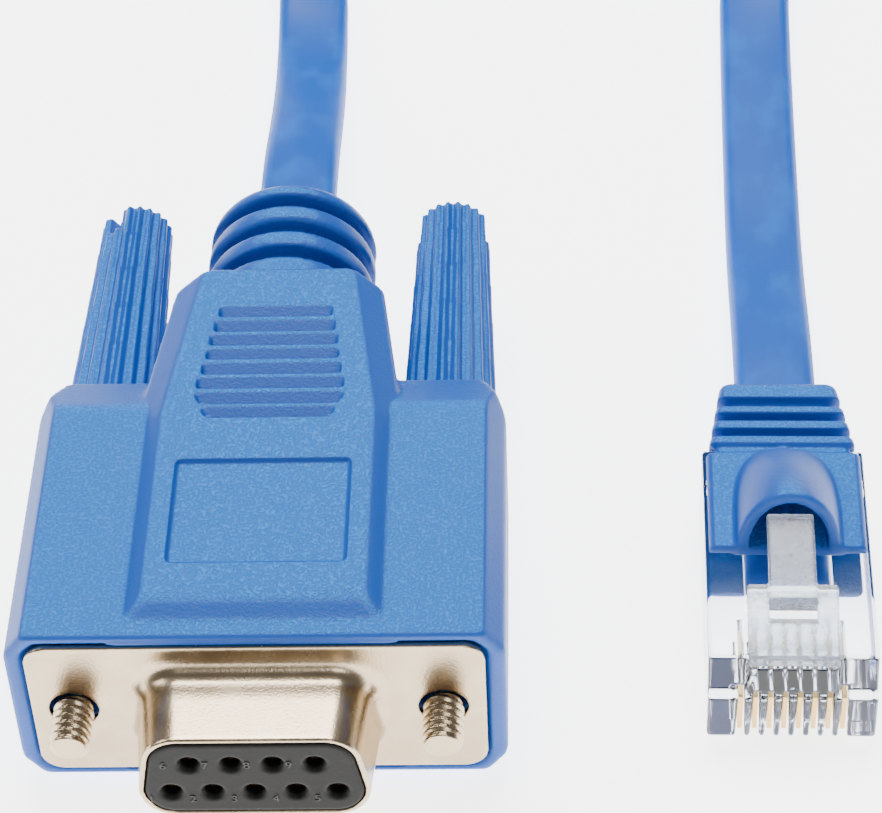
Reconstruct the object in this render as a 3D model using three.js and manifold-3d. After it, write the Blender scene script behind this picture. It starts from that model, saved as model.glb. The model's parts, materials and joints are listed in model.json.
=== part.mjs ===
// Serial console cable: a nine-way D socket in a moulded hood, 1.83 m of flat
// eight-core cable wound in a coil, and a clear eight-way modular plug in a
// slide-on boot. Millimetres, +Z up, everything lies on the plane z = 0.
// The D socket looks towards -Y and its cable leaves towards +Y.
import * as THREE from 'three';
import { ConvexGeometry } from 'three/addons/geometries/ConvexGeometry.js';
import { mergeVertices } from 'three/addons/utils/BufferGeometryUtils.js';
import Module from 'manifold-3d';

const wasm = await Module();
wasm.setup();

// Clearances, and how far a cutter reaches past the face that it opens
const touchGap = 0.3;
const slideGap = 0.15;
const past = 1;

// D socket: the contacts' pitch sets the shell, the shell sets the screws, and they set the flange
const wideRowCount = 5;
const narrowRowCount = 4;
const contactPitch = 2.77;
const contactRowSpacing = 2.84;
const shellMargin = 5.25;
const screwMargin = 8.66;
const flangeMargin = 5.82;
const shellWidth = (wideRowCount - 1) * contactPitch + shellMargin;
const screwSpacing = shellWidth + screwMargin;
const screwHole = 3.3;
const flangeWidth = screwSpacing + flangeMargin;

// D socket: steel shell
const flangeHeight = 12.55;
const flangeThickness = 0.6;
const flangeCorner = 1.6;
const flangeProud = 0.2;
const shellHeight = 7.9;
const shellReach = 5.95;
const shellCorner = 2.6;
const shellWall = 0.4;
const shellSlope = THREE.MathUtils.degToRad(10);
const drawRadius = 0.9;

// D socket: insulator and its nine contacts
const insulatorDepth = 9;
const entryDiameter = 1.18;
const countersinkDiameter = 1.66;
const countersinkDepth = 0.35;
const lipDepth = 0.9;
const contactBore = 2.0;
const contactDiameter = 1.7;
const contactInner = 1.1;
const contactLength = 6.5;
const contactFloor = 0.8;

// Hood
const hoodMargin = 2.69;
const hoodWidth = flangeWidth + hoodMargin;
const wingHeight = 14.4;
const wingBevelAcross = 1.4;
const wingBevelDrop = 1.9;
const wingDepth = 26.3;
const wingTopDepth = 21.9;
const wingCornerAcross = 1.65;
const wingCornerAlong = 3.7;
const wingTopCornerAlong = 0.3;
const panelHeight = 16;
const panelWidth = 14.8;
const panelStart = 3.2;
const panelTaperStart = 20.5;
const panelEndWidth = 10.9;
const neckEnd = 35.5;
const panelBevelDrop = 1.3;
const panelBevelAcross = 2.13;
const panelBevelFront = 2.85;
const neckCornerCut = 1.0;

// Hood: label recess and finger grip
const labelWidth = 12.1;
const labelStart = 6.25;
const labelEnd = 15.7;
const labelDepth = 0.3;
const gripStart = 19.9;
const gripWide = 22.5;
const gripEnd = 31.8;
const gripStartWidth = 8.7;
const gripWideWidth = 10.7;
const gripEndWidth = 7.9;
const gripSteps = 8;
const gripDepth = 0.55;
const gripEndDepth = 0.15;

// Strain relief moulded on the hood
const reliefDiameter = 13;
const reliefGrooveDiameter = 10.6;
const reliefEnd = 47.7;
const reliefRoot = 4;
const reliefRim = [
  { inset: 0, before: 1.44 },
  { inset: 0.36, before: 0.54 },
];
const reliefGrooves = [38.7, 41.6, 44.5];
const reliefGrooveWidth = 1.15;
const reliefGrooveFlank = 0.15;
const noseDiameter = 9.4;

// Thumbscrews
const knobRootDiameter = 7.1;
const knobEndDiameter = 5.8;
const knobLength = 22.35;
const knobCrown = 0.35;
const knobStandoff = 0.4;
const knobFlutes = 20;
const fluteDepth = 0.32;
const slotWidth = 1.3;
const slotDepth = 2.5;
const slotTurns = { left: 52, right: 0 };
const threadDiameter = 2.84;
const threadRoot = 2.15;
const threadPitch = 0.635;
const threadReach = 3.4;
const threadTurns = 9;
const crestStart = 0.4;
const crestEnd = 0.6;
const screwTip = 1.83;
const screwTipBevel = 0.2;
const threadRunout = 0.3;
const shankDiameter = 2.3;
const shankBore = 3.3;
const screwInKnob = 12;

// Flat cable
const cableWidth = 6.1;
const cableThickness = 2.4;
const cableCorner = 0.8;
const cableStep = 3.4;

// Coil of the cable's spare length: two layers of turns that stand on edge
const coilCentre = [18.8, 115];
const coilOuterRadius = 39.7;
const coilInnerRadius = 27.3;
const coilHeight = 13;
const coilLift = 0.3;

// Modular plug
const plugPlace = [36.3, 3.1];
const plugYaw = -1.2;
const plugLift = 0.7;
const plugWidth = 11.68;
const plugLength = 21.46;
const plugHeight = 6.6;
const noseHeight = 4.1;
const noseLedge = 0.8;
const noseTopSet = 1.7;
const plugEdge = 0.25;
const bladePitch = 1.016;
const bladeCount = 8;
const bladeSlot = 0.62;
const bladeThickness = 0.32;
const bladeSlotLength = 6.2;
const bladeSlotHeight = 4.4;
const bladeLength = 5.2;
const bladeHeight = 3.3;
const bladeSet = 0.45;
const cavityHeight = 3.4;
const cavityStart = 8;
const cableHeightAtPlug = 4.0;

// Latch of the plug
const latchWidth = 6.27;
const leverWidth = 3.3;
const latchThickness = 0.9;
const latchFoot = 0.7;
const tongueStart = 3.6;
const tongueLean = 0.7;
const tongueDepth = 1.7;
const latchStart = 0.75;
const latchBend = 1.25;
const latchBendRise = 0.7;
const latchShoulder = 6.3;
const latchShoulderRise = 2.4;
const leverStart = 4.9;
const leverEnd = 11.8;
const leverEndRise = 3.65;
const leverProud = 0.25;
const latchHoleLength = 1.05;
const latchUnderside = 0.35;

// Boot on the plug
const bootStart = 11;
const bootEnd = 29;
const bootBodyEnd = 20.8;
const bootPlate = 0.75;
const bootFrontWidth = 11.2;
const bootBodyWidth = 10.9;
const bootRearWidth = 8.6;
const bootRearHeight = 6.2;
const bootEdge = 0.8;
const bootFrontEdge = 0.375;
const bootEndInset = 0.6;
const bootEndRounding = 1;
const bootGrooves = [
  { start: 20.95, depth: 0.35 },
  { start: 22.75, depth: 0.75 },
  { start: 24.6, depth: 0.75 },
  { start: 26.4, depth: 0.75 },
];
const bootGrooveWidth = 0.85;
const archWidth = 7.3;
const archRise = 4.9;
const archLean = 1.0;
const archWall = 0.85;
const archMiddle = { along: 4, width: 6.94, rise: 3.92 };
const archTail = { along: 10.9, width: 3.65, rise: 0.3 };
const archHollow = { along: 6, width: 4.75, rise: 1.6 };

// Places worked out from the sizes above
const knobStart = wingDepth + knobStandoff;
const knobEnd = knobStart + knobLength;
const panelHalf = panelHeight / 2;
const wingHalf = wingHeight / 2;
const hoodFront = flangeProud;
const socketPlace = [0, -(knobEnd - shellReach) / 2, panelHalf];
const screwX = screwSpacing / 2;

// Colours
const finish = (color, roughness, metalness) => (
  new THREE.MeshStandardMaterial({ color, roughness, metalness })
);
const materials = {
  blue: finish('#2f7fc9', 0.55, 0),
  nickel: finish('#c9c2b6', 0.25, 1),
  black: finish('#2b2b2d', 0.5, 0),
  gold: finish('#d9b25a', 0.25, 1),
  clear: finish('#dfe6ea', 0.1, 0),
};

// Solids from geometries and back
function toSolid(geometry) {
  const bare = geometry.index ? geometry.toNonIndexed() : geometry.clone();
  bare.deleteAttribute('normal');
  bare.deleteAttribute('uv');
  const merged = mergeVertices(bare, 1e-4);
  return new wasm.Manifold(new wasm.Mesh({
    numProp: 3,
    vertProperties: merged.attributes.position.array,
    triVerts: new Uint32Array(merged.index.array),
  }));
}

function toGeometry(solid) {
  const mesh = solid.getMesh();
  const geometry = new THREE.BufferGeometry();
  geometry.setAttribute('position', new THREE.BufferAttribute(mesh.vertProperties, 3));
  geometry.setIndex(new THREE.BufferAttribute(mesh.triVerts, 1));
  geometry.computeVertexNormals();
  return geometry;
}

const join = (solids) => solids.reduce((whole, next) => whole.add(next));
const cut = (solid, tools) => tools.reduce((whole, tool) => whole.subtract(tool), solid);

// Box between two corners
function block(low, high) {
  const size = high.map((value, i) => value - low[i]);
  const geometry = new THREE.BoxGeometry(...size);
  geometry.translate(...low.map((value, i) => value + size[i] / 2));
  return toSolid(geometry);
}

// Convex solid through rings of points
function hull(rings) {
  const points = rings.flat().map((point) => new THREE.Vector3(...point));
  return toSolid(new ConvexGeometry(points));
}

// Round solid along +Y from a profile of [radius, y] pairs that starts and ends on the axis
function turned(profile, sides = 24) {
  const points = profile.map(([radius, y]) => new THREE.Vector2(radius, y));
  return toSolid(new THREE.LatheGeometry(points, sides));
}

// Solid of one width across X from its side outline of [y, z] points
function sideways(outline, width) {
  const shape = new THREE.Shape(outline.map((point) => new THREE.Vector2(...point)));
  const geometry = new THREE.ExtrudeGeometry(shape, { depth: width, bevelEnabled: false });
  geometry.translate(0, 0, -width / 2);
  const axes = [[0, 1, 0], [0, 0, 1], [1, 0, 0]].map((axis) => new THREE.Vector3(...axis));
  geometry.applyMatrix4(new THREE.Matrix4().makeBasis(...axes));
  return toSolid(geometry);
}

function rod(diameter, start, end, x, z, sides = 16) {
  const radius = diameter / 2;
  const solid = turned([[0, start], [radius, start], [radius, end], [0, end]], sides);
  return solid.translate([x, 0, z]);
}

// Outline of a rectangle with round corners, in the XZ plane at one y
function roundedRect(width, height, corner, y, steps = 4) {
  const points = [];
  const centres = [[1, 1], [-1, 1], [-1, -1], [1, -1]];
  centres.forEach(([sx, sz], quarter) => {
    for (let i = 0; i <= steps; i += 1) {
      const turn = (quarter + i / steps) * Math.PI / 2;
      points.push([
        sx * (width / 2 - corner) + corner * Math.cos(turn),
        y,
        sz * (height / 2 - corner) + corner * Math.sin(turn),
      ]);
    }
  });
  return points;
}

// D outline, wide side down, moved outwards by grow
function dOutline(grow, y, steps = 5) {
  const corner = shellCorner + grow;
  const inner = shellHeight / 2 - shellCorner;
  const wideCentre = shellWidth / 2 - shellCorner;
  const narrowCentre = wideCentre - 2 * inner * Math.tan(shellSlope);
  const corners = [
    [narrowCentre, inner, Math.PI / 2, shellSlope],
    [wideCentre, -inner, shellSlope, -Math.PI / 2],
  ];
  const right = [];
  corners.forEach(([x, z, from, to]) => {
    for (let i = 0; i <= steps; i += 1) {
      const turn = from + (to - from) * i / steps;
      right.push([x + corner * Math.cos(turn), y, z + corner * Math.sin(turn)]);
    }
  });
  const left = right.map(([x, yy, z]) => [-x, yy, z]).reverse();
  return [...right, ...left];
}

// Steel shell: flange, drawn root, D tube and its two screw holes
function makeShell() {
  const plate = hull([
    roundedRect(flangeWidth, flangeHeight, flangeCorner, 0),
    roundedRect(flangeWidth, flangeHeight, flangeCorner, flangeThickness),
  ]);
  const root = [];
  const rootSteps = 3;
  for (let i = 0; i < rootSteps; i += 1) {
    const turns = [i, i + 1].map((step) => step / rootSteps * Math.PI / 2);
    root.push(hull(turns.map((turn) => dOutline(
      drawRadius * (1 - Math.sin(turn)),
      -drawRadius * (1 - Math.cos(turn)),
    ))));
  }
  const tube = hull([dOutline(0, -shellReach), dOutline(0, flangeThickness)]);
  const bore = hull([
    dOutline(-shellWall, -shellReach - past),
    dOutline(-shellWall, flangeThickness + past),
  ]);
  const holes = [-screwX, screwX].map((x) => (
    rod(screwHole, -past, flangeThickness + past, x, 0, 20)
  ));
  return cut(join([plate, ...root, tube]), [bore, ...holes]);
}

// Places of the nine contacts: five in the wide row, four in the narrow row
function contactPlaces() {
  const places = [];
  [[wideRowCount, -1], [narrowRowCount, 1]].forEach(([count, way]) => {
    for (let i = 0; i < count; i += 1) {
      places.push([(i - (count - 1) / 2) * contactPitch, way * contactRowSpacing / 2]);
    }
  });
  return places;
}

// Insulator: black block that fills the shell, with a stepped bore for each contact
function makeInsulator() {
  const grow = -shellWall - slideGap;
  const body = hull([dOutline(grow, -shellReach), dOutline(grow, insulatorDepth)]);
  const bores = contactPlaces().map(([x, z]) => turned([
    [0, -shellReach - past],
    [countersinkDiameter / 2, -shellReach - past],
    [countersinkDiameter / 2, -shellReach],
    [entryDiameter / 2, -shellReach + countersinkDepth],
    [entryDiameter / 2, -shellReach + lipDepth],
    [contactBore / 2, -shellReach + lipDepth],
    [contactBore / 2, -shellReach + lipDepth + contactLength + 2 * slideGap],
    [0, -shellReach + lipDepth + contactLength + 2 * slideGap],
  ], 14).translate([x, 0, z]));
  return cut(body, bores);
}

// One socket contact: a gold tube, open to the front
function makeContact([x, z]) {
  const start = -shellReach + lipDepth + slideGap;
  const end = start + contactLength;
  return turned([
    [contactInner / 2, start],
    [contactDiameter / 2, start],
    [contactDiameter / 2, end],
    [0, end],
    [0, end - contactFloor],
    [contactInner / 2, end - contactFloor],
    [contactInner / 2, start],
  ], 12).translate([x, 0, z]);
}

// Ring of the wing block at one height, given the bevel there
function wingRing(halfWidth, depth, cornerAlong, z) {
  return [
    [-halfWidth, hoodFront, z],
    [halfWidth, hoodFront, z],
    [halfWidth, depth - cornerAlong, z],
    [halfWidth - wingCornerAcross, depth, z],
    [-halfWidth + wingCornerAcross, depth, z],
    [-halfWidth, depth - cornerAlong, z],
  ];
}

function makeWings() {
  const halfWidth = hoodWidth / 2;
  const edgeZ = wingHalf - wingBevelDrop;
  const rings = [-1, 1].flatMap((side) => [
    wingRing(halfWidth, wingDepth, wingCornerAlong, side * edgeZ),
    wingRing(halfWidth - wingBevelAcross, wingTopDepth, wingTopCornerAlong, side * wingHalf),
  ]);
  return hull(rings);
}

// Raised panel and neck, with sloping sides on both faces
function makeNeck() {
  const top = [
    [-panelWidth / 2, panelStart],
    [panelWidth / 2, panelStart],
    [panelWidth / 2, panelTaperStart],
    [panelEndWidth / 2, neckEnd],
    [-panelEndWidth / 2, neckEnd],
    [-panelWidth / 2, panelTaperStart],
  ];
  const middle = [
    [-panelWidth / 2 - panelBevelAcross, panelStart - panelBevelFront],
    [panelWidth / 2 + panelBevelAcross, panelStart - panelBevelFront],
    [panelWidth / 2 + panelBevelAcross, panelTaperStart],
    [panelEndWidth / 2 + panelBevelAcross, neckEnd - neckCornerCut],
    [-panelEndWidth / 2 - panelBevelAcross, neckEnd - neckCornerCut],
    [-panelWidth / 2 - panelBevelAcross, panelTaperStart],
  ];
  const edgeZ = panelHalf - panelBevelDrop;
  const rings = [-1, 1].flatMap((side) => [
    top.map(([x, y]) => [x, y, side * panelHalf]),
    middle.map(([x, y]) => [x, y, side * edgeZ]),
  ]);
  return hull(rings);
}

// Strain relief: round ribs with grooves between them
function makeRelief() {
  const rib = reliefDiameter / 2;
  const groove = reliefGrooveDiameter / 2;
  const profile = [[0, neckEnd - reliefRoot], [rib, neckEnd - reliefRoot]];
  reliefGrooves.forEach((y) => {
    const end = y + reliefGrooveWidth;
    profile.push([rib, y], [groove, y + reliefGrooveFlank]);
    profile.push([groove, end - reliefGrooveFlank], [rib, end]);
  });
  reliefRim.forEach(({ inset, before }) => profile.push([rib - inset, reliefEnd - before]));
  profile.push([noseDiameter / 2, reliefEnd], [0, reliefEnd]);
  return turned(profile, 32);
}

// Width of the finger grip at one y
function gripWidthAt(y) {
  if (y < gripWide) {
    return THREE.MathUtils.mapLinear(y, gripStart, gripWide, gripStartWidth, gripWideWidth);
  }
  return THREE.MathUtils.mapLinear(y, gripWide, gripEnd, gripWideWidth, gripEndWidth);
}

// Finger grip: a recess whose floor is a flight of small sloping steps
function gripCutters(side) {
  const cutters = [];
  const pitch = (gripEnd - gripStart) / gripSteps;
  for (let i = 0; i < gripSteps; i += 1) {
    const near = gripStart + i * pitch;
    const far = near + pitch;
    const mid = (near + far) / 2;
    const half = gripWidthAt(mid) / 2;
    const out = panelHalf + past;
    cutters.push(hull([
      [[-half, near, out], [half, near, out], [half, far, out], [-half, far, out]],
      [[-half, near, panelHalf - gripDepth], [half, near, panelHalf - gripDepth]],
      [[-half, far, panelHalf - gripEndDepth], [half, far, panelHalf - gripEndDepth]],
    ]));
  }
  const cutter = join(cutters);
  return side > 0 ? cutter : cutter.mirror([0, 0, 1]);
}

function makeHood() {
  const body = join([makeWings(), makeNeck(), makeRelief()]);
  const label = [1, -1].map((side) => {
    const far = side * (panelHalf + past);
    const near = side * (panelHalf - labelDepth);
    return block(
      [-labelWidth / 2, labelStart, Math.min(near, far)],
      [labelWidth / 2, labelEnd, Math.max(near, far)],
    );
  });
  const flangeSeat = hull([
    roundedRect(flangeWidth + 2 * slideGap, flangeHeight + 2 * slideGap, flangeCorner, -past),
    roundedRect(
      flangeWidth + 2 * slideGap,
      flangeHeight + 2 * slideGap,
      flangeCorner,
      flangeThickness + slideGap,
    ),
  ]);
  const insulatorSeat = hull([
    dOutline(0, -past),
    dOutline(0, insulatorDepth + slideGap),
  ]);
  const shankBores = [-screwX, screwX].map((x) => rod(shankBore, -past, wingDepth + past, x, 0));
  const grips = [gripCutters(1), gripCutters(-1)];
  return cut(body, [...label, flangeSeat, insulatorSeat, ...shankBores, ...grips]);
}

// Knob of a thumbscrew: fluted and tapered, with a driver slot in its end
function makeKnob(x, slotTurn) {
  const shape = new THREE.Shape();
  const perFlute = 4;
  const count = knobFlutes * perFlute;
  for (let i = 0; i <= count; i += 1) {
    const turn = i / count * 2 * Math.PI;
    const phase = i % perFlute;
    const radius = knobRootDiameter / 2 - (phase === 0 ? fluteDepth : 0);
    const place = [radius * Math.cos(turn), radius * Math.sin(turn)];
    if (i === 0) shape.moveTo(...place);
    else if (i < count) shape.lineTo(...place);
  }
  shape.closePath();
  const geometry = new THREE.ExtrudeGeometry(shape, { depth: 2, steps: 2, bevelEnabled: false });
  const position = geometry.attributes.position;
  const rings = [
    [0, knobRootDiameter],
    [knobLength - knobCrown, knobEndDiameter],
    [knobLength, knobEndDiameter - 2 * knobCrown],
  ];
  for (let i = 0; i < position.count; i += 1) {
    const [along, diameter] = rings[Math.round(position.getZ(i))];
    const scale = diameter / knobRootDiameter;
    position.setXYZ(i, position.getX(i) * scale, position.getY(i) * scale, along);
  }
  geometry.rotateX(-Math.PI / 2);
  geometry.translate(0, knobStart, 0);
  const slot = block(
    [-knobRootDiameter, knobEnd - slotDepth, -slotWidth / 2],
    [knobRootDiameter, knobEnd + past, slotWidth / 2],
  ).rotate([0, slotTurn, 0]);
  const socketEnd = knobStart + screwInKnob + slideGap;
  const socket = rod(shankDiameter + 2 * slideGap, knobStart - past, socketEnd, 0, 0, 12);
  return cut(toSolid(geometry), [slot, socket]).translate([x, 0, 0]);
}

// Steel screw of a thumbscrew: threaded tip, shank, and a root fixed in the knob
function makeScrew(x) {
  const crest = threadDiameter / 2;
  const root = threadRoot / 2;
  const threadStart = -threadReach + screwTipBevel;
  const profile = [[0, -threadReach], [screwTip / 2, -threadReach], [root, threadStart]];
  for (let i = 0; i < threadTurns; i += 1) {
    const y = threadStart + i * threadPitch;
    profile.push([crest, y + threadPitch * crestStart], [crest, y + threadPitch * crestEnd]);
    profile.push([root, y + threadPitch]);
  }
  profile.push([shankDiameter / 2, threadStart + threadTurns * threadPitch + threadRunout]);
  profile.push([shankDiameter / 2, knobStart + screwInKnob], [0, knobStart + screwInKnob]);
  return turned(profile, 12).translate([x, 0, 0]);
}

// Flat cable: one section carried along a route of [x, y, z, turn] points.
// A turn of 0 lays the cable flat and 90 stands it on its edge.
const socketRoute = [
  [0, 26.45, 8, 0],
  [0, 31, 7.95, 0],
  [-0.05, 36.5, 7.2, 0],
  [-0.15, 43, 5.2, 0],
  [-0.3, 50, 3, 0],
  [-0.5, 56, 1.6, 0],
  [-0.65, 61.5, 1.45, 2],
  [-0.85, 66.5, 2.4, 22],
  [-1.8, 72, 3.3, 54],
  [-4.3, 77.7, 3.4, 79],
  [-7.2, 82.6, 3.4, 90],
];
const plugRoute = [
  [36.514, -8.252, 4, 0],
  [36.744, 2.746, 4, 0],
  [36.922, 11.244, 4, 0],
  [37.01, 15.2, 3.85, 0],
  [37.13, 21, 3.05, 0],
  [37.25, 27, 1.95, 0],
  [37.4, 33.5, 1.3, 0],
  [37.65, 42, 1.22, 0],
  [37.95, 51.5, 1.22, 0],
  [38.2, 58.5, 1.25, 0],
  [38.45, 64.5, 1.85, -10],
  [38.9, 69, 3.2, -34],
  [40.2, 74.2, 5.6, -64],
  [42.4, 79, 8, -84],
  [44.8, 82.6, 9.4, -90],
];

function cableSection() {
  const halfWidth = cableWidth / 2;
  const halfThickness = cableThickness / 2;
  const shape = new THREE.Shape();
  shape.moveTo(halfWidth, -halfThickness + cableCorner);
  shape.lineTo(halfWidth, halfThickness - cableCorner);
  shape.lineTo(halfWidth - cableCorner, halfThickness);
  shape.lineTo(-halfWidth + cableCorner, halfThickness);
  shape.lineTo(-halfWidth, halfThickness - cableCorner);
  shape.lineTo(-halfWidth, -halfThickness + cableCorner);
  shape.lineTo(-halfWidth + cableCorner, -halfThickness);
  shape.lineTo(halfWidth - cableCorner, -halfThickness);
  shape.closePath();
  return shape;
}

function makeCable(route) {
  const places = route.map(([x, y, z]) => new THREE.Vector3(x, y, z));
  const curve = new THREE.CatmullRomCurve3(places, false, 'centripetal');
  const steps = Math.round(curve.getLength() / cableStep);
  const extrusion = { depth: 1, steps, bevelEnabled: false };
  const geometry = new THREE.ExtrudeGeometry(cableSection(), extrusion);
  const position = geometry.attributes.position;
  const up = new THREE.Vector3(0, 0, 1);
  for (let i = 0; i < position.count; i += 1) {
    const along = THREE.MathUtils.clamp(position.getZ(i), 0, 1);
    const t = curve.getUtoTmapping(along);
    const index = Math.min(Math.floor(t * (route.length - 1)), route.length - 2);
    const part = t * (route.length - 1) - index;
    const turn = THREE.MathUtils.lerp(route[index][3], route[index + 1][3], part);
    const centre = curve.getPoint(t);
    const tangent = curve.getTangent(t);
    const side = new THREE.Vector3().crossVectors(tangent, up).normalize();
    side.applyAxisAngle(tangent, THREE.MathUtils.degToRad(turn));
    const normal = new THREE.Vector3().crossVectors(tangent, side);
    const place = centre
      .addScaledVector(side, position.getX(i))
      .addScaledVector(normal, position.getY(i));
    position.setXYZ(i, place.x, place.y, place.z);
  }
  return toSolid(geometry);
}

// Coil: a turned ring that the two layers of turns fill
function makeCoil() {
  const profile = [
    [coilInnerRadius, coilLift],
    [coilOuterRadius, coilLift],
    [coilOuterRadius, coilLift + coilHeight],
    [coilInnerRadius, coilLift + coilHeight],
    [coilInnerRadius, coilLift],
  ].map(([radius, z]) => new THREE.Vector2(radius, z));
  const ring = new THREE.LatheGeometry(profile, 48);
  ring.rotateX(Math.PI / 2);
  return toSolid(ring);
}

// Places of the plug's eight blades across its width
const bladePlaces = Array.from(
  { length: bladeCount },
  (unused, i) => (i - (bladeCount - 1) / 2) * bladePitch,
);

// Clear body of the plug, latch side up, nose at y = 0
function makePlugBody() {
  const half = plugWidth / 2;
  const top = plugLift + plugHeight;
  const ledge = plugLift + noseHeight;
  const side = (x) => [
    [x, 0, plugLift],
    [x, 0, ledge],
    [x, plugLength, plugLift],
    [x, plugLength, ledge],
  ];
  const lower = hull([side(-half), side(half)]);
  const upper = hull([-1, 1].map((way) => [
    [way * half, noseLedge, ledge],
    [way * half, noseTopSet, top - plugEdge],
    [way * (half - plugEdge), noseTopSet, top],
    [way * half, plugLength, ledge],
    [way * half, plugLength, top - plugEdge],
    [way * (half - plugEdge), plugLength, top],
  ]));
  const slots = bladePlaces.map((x) => block(
    [x - bladeSlot / 2, -past, plugLift - past],
    [x + bladeSlot / 2, bladeSlotLength, plugLift + bladeSlotHeight],
  ));
  const cavityHalf = cableWidth / 2 + touchGap;
  const cavity = block(
    [-cavityHalf, cavityStart, cableHeightAtPlug - cavityHeight / 2],
    [cavityHalf, plugLength + past, cableHeightAtPlug + cavityHeight / 2],
  );
  const tongue = sideways([
    [0, tongueStart],
    [tongueDepth, tongueStart],
    [tongueDepth - touchGap, top - touchGap],
    [tongueLean, top - touchGap],
  ], latchWidth);
  return cut(join([lower, upper, tongue]), [...slots, cavity]);
}

// Latch: wide part from the nose to its two shoulders, then a narrow lever
function makeLatch() {
  const base = plugLift + plugHeight;
  const wide = sideways([
    [latchStart, base],
    [latchStart + latchFoot, base],
    [latchStart + latchThickness + latchUnderside, base + latchUnderside + slideGap],
    [latchShoulder, base + latchShoulderRise - latchThickness],
    [latchShoulder, base + latchShoulderRise],
    [latchBend, base + latchBendRise],
  ], latchWidth);
  const leverTop = (y) => base + THREE.MathUtils.mapLinear(
    y,
    latchShoulder,
    leverEnd,
    latchShoulderRise + leverProud,
    leverEndRise,
  );
  const lever = sideways([
    [leverStart, leverTop(leverStart) - latchThickness],
    [leverEnd, leverTop(leverEnd) - latchThickness],
    [leverEnd, leverTop(leverEnd)],
    [leverStart, leverTop(leverStart)],
  ], leverWidth);
  const hole = block(
    [-leverWidth / 2, leverStart - latchHoleLength, base - past],
    [leverWidth / 2, leverStart, base + leverEndRise],
  );
  return wide.subtract(hole).add(lever);
}

// One gold blade of the plug
function makeBlade(x) {
  return block(
    [x - bladeThickness / 2, bladeSet, plugLift + bladeSet],
    [x + bladeThickness / 2, bladeSet + bladeLength, plugLift + bladeSet + bladeHeight],
  );
}

// Section of the boot at one y, with cut corners
function bootRing(width, low, high, edge, y) {
  return [-1, 1].flatMap((way) => [
    [way * width / 2, y, low + edge],
    [way * width / 2, y, high - edge],
    [way * (width / 2 - edge), y, low],
    [way * (width / 2 - edge), y, high],
  ]);
}

function makeBoot() {
  const plugTop = plugLift + plugHeight;
  const low = 0;
  const high = plugTop + slideGap + bootPlate;
  const middle = cableHeightAtPlug;
  const rearLow = middle - bootRearHeight / 2;
  const rearHigh = middle + bootRearHeight / 2;
  const towardsRear = (y, front, rear) => (
    THREE.MathUtils.mapLinear(y, bootBodyEnd, bootEnd, front, rear)
  );
  const widthAt = (y) => towardsRear(y, bootBodyWidth, bootRearWidth);
  const lowAt = (y) => towardsRear(y, low, rearLow);
  const highAt = (y) => towardsRear(y, high, rearHigh);
  const roundingStart = bootEnd - bootEndRounding;
  const frontBody = hull([
    bootRing(bootFrontWidth, low, high, bootFrontEdge, bootStart),
    bootRing(bootBodyWidth, low, high, bootFrontEdge, bootBodyEnd),
  ]);
  const rearBody = hull([
    bootRing(widthAt(bootBodyEnd), low, high, bootEdge, bootBodyEnd),
    bootRing(
      widthAt(roundingStart),
      lowAt(roundingStart),
      highAt(roundingStart),
      bootEdge,
      roundingStart,
    ),
    bootRing(
      bootRearWidth - 2 * bootEndInset,
      rearLow + bootEndInset,
      rearHigh - bootEndInset,
      bootEdge,
      bootEnd,
    ),
  ]);
  const grooves = bootGrooves.map(({ start, depth }) => {
    const end = start + bootGrooveWidth;
    const slab = block([-plugWidth, start, -past], [plugWidth, end, high + archRise]);
    const mid = (start + end) / 2;
    const core = hull([start - past, end + past].map((y) => bootRing(
      widthAt(mid) - 2 * depth,
      lowAt(mid) + depth,
      highAt(mid) - depth,
      bootEdge,
      y,
    )));
    return slab.subtract(core);
  });
  const archRing = (width, rise, along, lean, drop) => {
    const points = [];
    const steps = 12;
    for (let i = 0; i <= steps; i += 1) {
      const turn = i / steps * Math.PI;
      const up = Math.sin(turn);
      points.push([
        width / 2 * Math.cos(turn),
        bootStart + along + lean * up,
        high - drop + rise * up,
      ]);
    }
    return points;
  };
  const arch = hull([
    archRing(archWidth, archRise, 0, archLean, bootFrontEdge),
    archRing(archMiddle.width, archMiddle.rise, archMiddle.along, 0, bootFrontEdge),
    archRing(archTail.width, archTail.rise, archTail.along, 0, bootFrontEdge),
  ]);
  const innerWidth = archWidth - 2 * archWall;
  const archVoid = hull([
    archRing(innerWidth, archRise - archWall, -2 * past, archLean, 0),
    archRing(innerWidth, archMiddle.rise - archWall, archMiddle.along, 0, 0),
    archRing(archHollow.width, archHollow.rise, archHollow.along, 0, 0),
  ]);
  const plugSlot = block(
    [-plugWidth, bootStart - past, plugLift - slideGap],
    [plugWidth, plugLength + slideGap, plugTop + slideGap],
  );
  const cableHole = block(
    [-cableWidth / 2 - touchGap, plugLength - past, middle - cableThickness / 2 - touchGap],
    [cableWidth / 2 + touchGap, bootEnd + past, middle + cableThickness / 2 + touchGap],
  );
  const shell = cut(join([frontBody, rearBody]), grooves);
  return cut(shell.add(arch), [archVoid, plugSlot, cableHole]);
}

// The scene graph
const group = new THREE.Group();
const socketGroup = new THREE.Group();
socketGroup.position.set(...socketPlace);
const plugGroup = new THREE.Group();
plugGroup.position.set(plugPlace[0], plugPlace[1] + socketPlace[1], 0);
plugGroup.rotation.z = THREE.MathUtils.degToRad(plugYaw);
group.add(socketGroup, plugGroup);

function addPiece(parent, name, solid, material) {
  const mesh = new THREE.Mesh(toGeometry(solid), material);
  mesh.name = name;
  parent.add(mesh);
  return mesh;
}

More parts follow.
